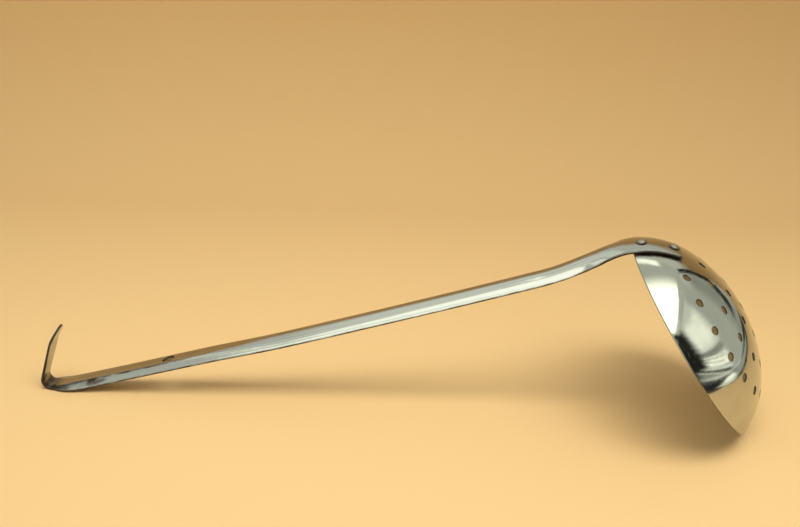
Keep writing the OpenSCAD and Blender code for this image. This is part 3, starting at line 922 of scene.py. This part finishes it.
class LADLE_OT_handle(bpy.types.Operator):
    """Makes the handle: a sheet along the path, folded across, from the tab to the hook"""

    bl_idname = "ladle.handle"
    bl_label = "Handle"

    def execute(self, context):
        scene = context.scene
        sizes, rivets = scene.ladle_handle, scene.ladle_rivets
        bowl = BowlForm(scene.ladle_bowl)
        path = StripPath(sizes, bowl)
        step = sizes.mesh_step
        outline = path.outline(step)
        places = [np.array([path.heel_dist - sizes.hang_place, 0.0])]
        reach = [sizes.hang_diameter / 2]
        for dist in rivet_places(rivets, bowl).values():
            raised = (dist - bowl.length + sizes.tab) * (1 + path.lift / bowl.radii[1])
            places.append(np.array([raised, 0.0]))
            reach.append(rivets.shank / 2 + 0.05 * MM)
        holes = [self.circle(place, radius) for place, radius in zip(places, reach)]
        lines = path.lines(step)
        reach_across = int(sizes.width / 2 / step) + 1
        rows = np.arange(-reach_across, reach_across + 1) * step
        grid = np.stack(np.meshgrid(lines, rows, indexing="ij"), axis=-1).reshape(-1, 2)
        room = path.half(grid[:, 0]) - np.abs(grid[:, 1])
        margin = sizes.edge_radius + step * 0.5
        between = (grid[:, 0] > margin) & (grid[:, 0] < path.end_dist - margin)
        inner = grid[(room > margin) & between]
        inner = clear_of(inner, holes, sizes.punch_radius + step * 0.9)
        inner = inner[edge_distance(inner, [outline]) > margin]
        piece = sheet_piece(
            "channel_handle", path.surface, outline, holes, inner, sizes.thickness,
            sizes.edge_radius, sizes.punch_radius, self.handle_darkening(path, places[1:], rivets.head / 2),
        )
        looks = scene.ladle_steel
        steel = polished_steel("strip_polish", looks.strip, looks.polish, STRIP_GRAIN, looks)
        dress(piece, "handle", steel)
        return {"FINISHED"}

    @staticmethod
    def handle_darkening(path, rivets, head):
        """Darkening: painted shade in rings round the rivets' heads, and darker steel along the
        sides' lower edges, along the folds near the heel, over the heel and the hook, in an oval
        spot on each side in front of the heel and in a dab near the hook's tip."""

        def darkening(flat):
            along, across = (flat[:, 0] - path.heel_dist) / MM, flat[:, 1] / MM
            near = path.half(flat[:, 0]) / MM - np.abs(across)
            to_rivet = np.array([np.linalg.norm(flat - place, axis=1) for place in rivets])
            # Painted shade round the rivets' heads.
            ring = 1 - ease((to_rivet.min(axis=0) - head) / (0.8 * MM))
            heel_and_hook_dark = 0.4 * ease((along + 6) / 12) + 0.5 * ease(1 - np.abs(along - 1) / 9)
            spot = ease(1.8 - ((along + 15) / 13) ** 2 - ((np.abs(across) - 6.2) / 1.7) ** 2)
            crease = ease(1.6 - np.abs(np.abs(across) - 4.6) / 0.5)
            crease *= ease((-along - 6) / 10) * ease((along + 85) / 30)
            edge = 0.9 * ease((0.95 - near) / 0.5)
            dab = ease(1.5 - ((along - 31) / 2.5) ** 2 - ((across - 4.5) / 2) ** 2)
            return np.maximum.reduce([ring, heel_and_hook_dark, spot, crease, edge, dab])

        return darkening

    @staticmethod
    def circle(centre, radius):
        """Clockwise circle on the flat strip."""
        theta = -np.arange(HANG_POINTS) * FULL_TURN / HANG_POINTS
        return centre + radius * np.stack([np.cos(theta), np.sin(theta)], axis=1)


class LADLE_OT_rivets(bpy.types.Operator):
    """Makes the two rivets: a profile of shank and domed heads, turned about its axis"""

    bl_idname = "ladle.rivets"
    bl_label = "Rivets"

    def execute(self, context):
        scene = context.scene
        sizes = scene.ladle_rivets
        bowl = BowlForm(scene.ladle_bowl)
        path = StripPath(scene.ladle_handle, bowl)
        looks = scene.ladle_steel
        polish = looks.rivet_polish
        steel = polished_steel("rivet_polish", looks.rivet, polish, RIVET_GRAIN, looks)
        for node, dist in rivet_places(sizes, bowl).items():
            wall = bowl.radii[1] - scene.ladle_bowl.thickness
            seat = -scene.ladle_bowl.thickness - sizes.head_gap - sag(sizes.head / 2, wall)
            piece = self.turned(node + "_body", sizes, bowl, float(dist), path.lift, float(seat))
            dress(piece, node, steel)
        return {"FINISHED"}

    @staticmethod
    def dome(head, height, lip):
        """Half profile of a head, from its middle out and down to its seat: an arc over
        the lip, a rounded shoulder and the upright lip."""
        reach, rise = head / 2, height - lip
        radius = (reach**2 + rise**2) / (2 * rise)
        across = 0.985 * reach * np.sin(np.linspace(0, math.pi / 2, DOME_POINTS))
        arc = np.stack([across, height - sag(across, radius)], axis=1)
        side = np.array([[reach, lip * 0.8], [reach, lip * 0.3], [reach * 0.975, 0]])
        return np.concatenate([arc, side])

    def turned(self, name, sizes, bowl, dist, top, seat):
        """Turns the profile about the bowl's normal at a distance from the deepest point."""
        outer = self.dome(sizes.head, sizes.head_height, sizes.lip) + (0, top)
        inner = self.dome(sizes.head, sizes.inner_height, sizes.lip * 0.6) * (1, -1) + (0, seat)
        shank = sizes.shank / 2
        neck = np.array([[shank, top], [shank, seat]])
        profile = np.concatenate([outer, neck, inner[::-1]])
        count = RIVET_POINTS
        theta = np.arange(count) * FULL_TURN / count
        body = profile[1:-1]
        ring = np.stack([np.cos(theta), np.sin(theta)], axis=1)
        local = np.concatenate(
            [np.repeat(body[:, :1], count, 0) * np.tile(ring, (len(body), 1)),
             np.repeat(body[:, 1:], count, 0)], axis=1)
        ends = np.array([[0, 0, profile[0, 1]], [0, 0, profile[-1, 1]]])
        a = float(bowl.normal_angle(dist))
        across, height = (float(v) for v in bowl.meridian(dist))
        out = np.array([math.cos(a), 0, -math.sin(a)])
        normal = np.array([math.sin(a), 0, math.cos(a)])
        half_turn = np.array([-1, -1, 1])
        points = np.concatenate([local, ends])
        spread = points[:, :1] * out + points[:, 1:2] * (0, 1, 0) + points[:, 2:] * normal
        place = bowl.place((spread + (across, 0, height)) * half_turn)
        rows, columns = len(body), np.arange(count)
        after = (columns + 1) % count
        row = np.arange(rows - 1)[:, None] * count
        here, beside = row + columns, row + after
        sides = np.stack([here, here + count, beside + count, beside], axis=-1)
        first, last = rows * count, rows * count + 1
        base = (rows - 1) * count
        caps = [[first, int(c), int(n)] for c, n in zip(columns, after)]
        caps += [[last, int(base + n), int(base + c)] for c, n in zip(columns, after)]
        faces = sides.reshape(-1, 4).tolist() + caps
        mesh_normals = self.vertex_normals(place, faces)
        none = np.zeros(len(place))
        away = np.linalg.norm(points[:, :2], axis=1) / (sizes.head / 2)
        # Painted shade towards the rim of each head, where it meets the sheet.
        plain = {"edge": none + 2, "cut": none, "under": none, "darkening": ease((away - 0.6) / 0.5)}
        return make_piece(name, place, faces, mesh_normals, points[:, :2], plain)

    @staticmethod
    def vertex_normals(place, faces):
        """Normals as the sum of the areas of the faces round each point."""
        total = np.zeros_like(place)
        for size in (3, 4):
            part = np.array([face for face in faces if len(face) == size])
            a, b, c = place[part[:, 0]], place[part[:, 1]], place[part[:, 2]]
            area = np.cross(b - a, c - a)
            for corner in range(size):
                np.add.at(total, part[:, corner], area)
        return unit(total)


# What the steel reflects: the glow of a made-up room. It is painted on a round wall, on a
# ceiling and on the table beside the paper. A patch is left, right, low, high, width of
# the soft sides, width of the soft ends, slant, fall, level and warmth. On the wall the
# first two are degrees from the front towards the bowl's side, and the next two are
# heights in metres. On the ceiling and beside the paper the first two are Y and the next
# two are X. Slant moves a patch sideways with its height, and fall lowers it towards the
# right. A later patch lies over an earlier one.
ROOM_SHADE = (1.14, 1.16, 0.95)
PAPER_SHADE = (1.0, 0.68, 0.32)
WALL_RADIUS = 1.3
WALL_HEIGHTS = (-0.15, 2.6, 139)
WALL_TURN = (-180, 180, 721)
WALL_GLOW = 0.62
WALL_PATCHES = (
    # Wall to the right of the camera, dimmer further back, with a window high up.
    (57, 96, -0.2, 2.0, 10, 0.3, 0, 0, 0.78, 0),
    (96, 120, -0.2, 1.6, 14, 0.3, 0, 0, 0.52, 0),
    (55, 90, 0.56, 1.30, 18, 0.3, 0, 0, 1.30, 0),
    # Dark furniture under the window, with pale and dark shelves.
    (33, 58, -0.2, 0.34, 10, 0.1, 0, 0, 0.06, 0),
    (50, 94, 0.47, 0.58, 12, 0.06, 0, 0.003, 0.34, 0),
    (52, 92, 0.34, 0.50, 9, 0.05, 0, 0.005, 1.55, 0),
    (55, 90, 0.440, 0.460, 6, 0.02, 0, 0.005, 0.30, 0),
    (57, 86, 0.385, 0.405, 6, 0.02, 0, 0.006, 0.45, 0),
    (40, 92, 0.04, 0.34, 14, 0.05, 0, 0.004, 0.05, 0),
    (53, 94, 0.275, 0.310, 8, 0.02, 0, 0.005, 1.15, 0),
    (51, 98, 0.205, 0.240, 9, 0.02, 0, 0.005, 0.80, 0),
    (52, 98, 0.150, 0.170, 9, 0.02, 0, 0.004, 0.55, 0),
    (51, 106, 0.08, 0.12, 9, 0.03, 0, 0.002, 0.90, 0),
    (48, 100, 0.02, 0.06, 9, 0.03, 0, 0.001, 0.10, 0),
    # Dim corner at the back right, with a leaning dark rail and a dark post.
    (120, 136, -0.2, 1.0, 12, 0.3, 0, 0, 0.34, 0),
    (125.5, 133.5, 0.12, 0.42, 5, 0.05, -31, 0, 0.03, 0),
    (134.8, 139.0, 0.38, 1.60, 2.0, 0.1, 0, 0, 0.01, 0),
    # Wall behind the backdrop, warm from the paper.
    (139, 200, 0.0, 0.80, 2.2, 0.2, 0, 0, 0.45, 0.75),
    # Dark curtain beside the camera.
    (33, 64, 0.26, 1.32, 12, 0.10, 12, 0, 0.02, 0),
    # Lit wall on the hook's side, and pale cards behind the camera.
    (-104, -30, 0.85, 1.60, 14, 0.2, 0, 0, 1.1, 0),
    (-36, 34, 0.10, 2.3, 8, 0.3, 0, 0, 0.62, 0),
    (-34, 34, 0.90, 2.3, 8, 0.3, 0, 0, 1.10, 0),
    (-27, 34, 0.20, 1.15, 8, 0.3, 0, 0, 1.65, 0),
    # Lit top of the wall behind the backdrop.
    (150, 200, 1.5, 2.0, 8, 0.2, 0, 0, 1.5, 0),
)
CEILING_PATCHES = (
    # The side over the hook is lit.
    (-1.80, 1.20, -1.00, -0.15, 0.30, 0.1, 0, 0, 0.55, 0),
    (-1.80, 1.20, -0.62, -0.15, 0.30, 0.2, 0, 0, 0.88, 0),
    # The soft box's cloth with a dimmer border.
    (-1.80, -0.10, -0.28, 0.612, 0.30, 0.02, -0.42, 0, 1.2, 0),
    (-1.80, -0.14, -0.28, 0.612, 0.50, 0.02, -0.42, 0, 2.6, 0),
    # A small lit panel near the backdrop.
    (0.56, 0.72, 0.05, 0.38, 0.06, 0.1, 0, 0, 1.6, 0),
)
BESIDE_PATCHES = (
    # Sheen on the table: broad and dim, then bright at the front.
    (-0.02, 0.40, 0.575, 2.0, 0.10, 0.03, 0, 0, 0.42, 0),
    (-0.20, 0.00, 0.510, 2.0, 0.10, 0.02, 0, 0, 0.95, 0),
    (-0.16, 0.02, 0.66, 2.0, 0.08, 0.1, 0, 0, 1.50, 0),
)
# Name, X and Y from, to and count of points, height, and glow outside the patches.
FLAT_CARDS = (
    ("ceiling", (-0.72, 0.72, 145), (-0.69, 0.74, 145), 0.9, 0.56, CEILING_PATCHES),
    ("beside_paper", (0.482, 1.25, 129), (-0.5, 0.6, 111), -MM, 0.03, BESIDE_PATCHES),
)
# The wall's patches have wavy sides: size in degrees, and height of a wave in metres.
RIPPLE = 1.6
RIPPLE_HEIGHT = 0.07
TABLE_REACH = 3.0
TABLE_HEIGHT = -3 * MM
SWEEP_POINTS = 33
BOX_PLACE = (0.16, -0.3, 0.82)
BOX_TILT = (16, 13, 0)
CAMERA_PLACE = (0.05624, -0.54715, 0.31188)
CAMERA_AIM = (0.00493, 0, 0.07758)
SENSOR_WIDTH = 36


class LADLE_OT_stage(bpy.types.Operator):
    """Makes the floor, the lights, the cards that the steel reflects, and the camera"""

    bl_idname = "ladle.stage"
    bl_label = "Stage"

    def execute(self, context):
        look = context.scene.ladle_stage
        self.floor(look)
        self.lights(look)
        self.surround()
        self.camera(context.scene, look)
        self.room(context.scene, look)
        context.scene.view_settings.view_transform = "Standard"
        return {"FINISHED"}

    @staticmethod
    def grid(name, places, material):
        """A sheet through a grid of places."""
        rows, columns = places.shape[:2]
        row, column = np.meshgrid(np.arange(rows - 1), np.arange(columns - 1), indexing="ij")
        first = row * columns + column
        faces = np.stack([first, first + 1, first + columns + 1, first + columns], axis=-1)
        mesh = bpy.data.meshes.new(name)
        mesh.from_pydata(places.reshape(-1, 3), [], faces.reshape(-1, 4).tolist())
        mesh.polygons.foreach_set("use_smooth", np.ones(len(mesh.polygons), bool))
        mesh.materials.append(material)
        made = bpy.data.objects.new(name, mesh)
        bpy.context.scene.collection.objects.link(made)
        return made

    def floor(self, look):
        """Paper that lies on the table, bends up behind the ladle and stands upright, where
        the bend is a quarter circle, and a dark table under and round it."""
        turn = np.linspace(0, math.pi / 2, SWEEP_POINTS)
        start = look.back - look.sweep
        y = np.concatenate([[0], start + look.sweep * np.sin(turn), [look.back]])
        z = np.concatenate([[0], look.sweep * (1 - np.cos(turn)), [0]])
        y, z = np.stack([y, y], axis=1), np.stack([z, z], axis=1)
        y[0] = look.front_left, look.front_right
        z[-1] = look.top_left, look.top_right
        x = np.array([look.left, look.right])
        places = np.stack([np.tile(x, (len(y), 1)), y, z], axis=-1)
        self.grid("paper", places, plain_finish("tan_paper", tuple(look.paper), 0.9))
        wide = np.array([-TABLE_REACH, TABLE_REACH])
        places = np.stack([*np.meshgrid(wide, wide), np.full((2, 2), TABLE_HEIGHT)], axis=-1)
        self.grid("table", places, plain_finish("dark_table", tuple(look.table), 1.0))

    @staticmethod
    def glow(base, patches, across, along, ripple):
        """Glow and warmth over two coordinates: a base with soft-edged patches laid over it
        one after another. A slanted patch is shifted across in proportion to its height,
        and a falling one is lowered in proportion to the distance from its left side. The
        ripple is the product of two sines with odd factors, so that it doesn't repeat."""
        level, warmth = np.full(across.shape, base), np.zeros(across.shape)
        wave = np.sin(FULL_TURN * along / RIPPLE_HEIGHT + across / 7)
        uneven = ripple * wave * np.sin(along * 31 - across / 3)
        for left, right, low, high, soft_side, soft_end, slant, fall, value, warm in patches:
            at = across + slant * (along - low) + uneven * min(1, soft_side / 8)
            up = along + fall * (across - left)
            side = ease((at - left) / soft_side + 0.5) * ease((right - at) / soft_side + 0.5)
            end = ease((up - low) / soft_end + 0.5) * ease((high - up) / soft_end + 0.5)
            level, warmth = mix(level, value, side * end), mix(warmth, warm, side * end)
        return level, warmth

    def glowing(self, name, places, level, warmth):
        """A sheet with a patchy glow that only reflections see. Its colour goes from the
        room's to the paper's with the warmth."""
        finish = Finish(name)
        shade = finish.node("ShaderNodeAttribute", {"attribute_name": "glow"}, {}, output=0)
        lit = finish.node("ShaderNodeEmission", {}, {"Color": shade, "Strength": 1.0})
        sheet = self.grid(name, places, finish.surface(lit))
        shades = mix(np.array(ROOM_SHADE), np.array(PAPER_SHADE), warmth[..., None])
        shades = shades * level[..., None]
        layer = sheet.data.attributes.new("glow", "FLOAT_VECTOR", "POINT")
        layer.data.foreach_set("vector", shades.ravel().astype(np.float32))
        for kind in ("camera", "diffuse", "shadow", "transmission", "volume_scatter"):
            setattr(sheet, "visible_" + kind, False)

    def surround(self):
        """The round wall, the ceiling and the table's sheen, as reflections see them: the
        wall is a circle's sine and cosine, and the others are flat."""
        azimuth, height = np.meshgrid(np.linspace(*WALL_TURN), np.linspace(*WALL_HEIGHTS))
        turn = np.radians(azimuth)
        x, y = WALL_RADIUS * np.sin(turn), -WALL_RADIUS * np.cos(turn)
        glow = self.glow(WALL_GLOW, WALL_PATCHES, azimuth, height, RIPPLE)
        self.glowing("round_wall", np.stack([x, y, height], axis=-1), *glow)
        for name, x_span, y_span, level, base, patches in FLAT_CARDS:
            x, y = np.meshgrid(np.linspace(*x_span), np.linspace(*y_span))
            places = np.stack([x, y, np.full(x.shape, level)], axis=-1)
            self.glowing(name, places, *self.glow(base, patches, y, x, 0))

    def lights(self, look):
        """The soft box's light. Reflections see its cloth on the ceiling instead."""
        light = bpy.data.lights.new("soft_box", "AREA")
        light.shape = "RECTANGLE"
        light.size, light.size_y = look.box_width, look.box_depth
        light.spread = look.box_spread
        light.energy = look.soft_level * math.pi * light.size * light.size_y
        lamp = bpy.data.objects.new("soft_box", light)
        lamp.location = BOX_PLACE
        lamp.rotation_euler = [math.radians(degrees) for degrees in BOX_TILT]
        lamp.visible_glossy = False
        bpy.context.scene.collection.objects.link(lamp)

    def camera(self, scene, look):
        """The photograph's camera: the lens is the sensor over twice the tangent of half
        the view's width."""
        data = bpy.data.cameras.new("photo_camera")
        data.sensor_width = SENSOR_WIDTH
        data.lens = SENSOR_WIDTH / (2 * math.tan(look.view_width / 2))
        data.clip_start = 10 * MM
        camera = bpy.data.objects.new("photo_camera", data)
        camera.location = Vector(CAMERA_PLACE)
        aim = Vector(CAMERA_AIM) - camera.location
        camera.rotation_euler = aim.to_track_quat("-Z", "Y").to_euler()
        scene.collection.objects.link(camera)
        scene.camera = camera

    def room(self, scene, look):
        """The room's even light."""
        world = bpy.data.worlds.new("room")
        world.use_nodes = True
        air = world.node_tree.nodes["Background"]
        air.inputs["Color"].default_value = (*look.air, 1)
        air.inputs["Strength"].default_value = look.room
        scene.world = world


class LADLE_PT_panel(bpy.types.Panel):
    """Sidebar panel with the ladle's pieces and sizes"""

    bl_label = "Ladle"
    bl_idname = "LADLE_PT_panel"
    bl_space_type = "VIEW_3D"
    bl_region_type = "UI"
    bl_category = "Ladle"

    def draw(self, context):
        for operator, groups in OPERATORS_AND_GROUPS:
            self.layout.operator(operator)
            for group in groups:
                box = self.layout.box()
                settings = getattr(context.scene, group)
                for key in settings.bl_rna.properties.keys():
                    if key not in ("rna_type", "name"):
                        box.prop(settings, key)


OPERATORS_AND_GROUPS = (
    ("ladle.bowl", ("ladle_bowl",)),
    ("ladle.handle", ("ladle_handle",)),
    ("ladle.rivets", ("ladle_rivets", "ladle_steel")),
    ("ladle.stage", ("ladle_stage",)),
)
GROUPS = {
    "ladle_bowl": BowlSizes,
    "ladle_handle": HandleSizes,
    "ladle_rivets": RivetSizes,
    "ladle_steel": SteelColours,
    "ladle_stage": StageLook,
}
CLASSES = (
    *GROUPS.values(),
    LADLE_OT_bowl,
    LADLE_OT_handle,
    LADLE_OT_rivets,
    LADLE_OT_stage,
    LADLE_PT_panel,
)


def register():
    for each in CLASSES:
        bpy.utils.register_class(each)
    for name, group in GROUPS.items():
        setattr(bpy.types.Scene, name, PointerProperty(type=group))


def unregister():
    for name in GROUPS:
        delattr(bpy.types.Scene, name)
    for each in reversed(CLASSES):
        bpy.utils.unregister_class(each)


def main():
    register()
    bpy.ops.ladle.bowl()
    bpy.ops.ladle.handle()
    bpy.ops.ladle.rivets()
    bpy.ops.ladle.stage()


if __name__ == "__main__":
    main()
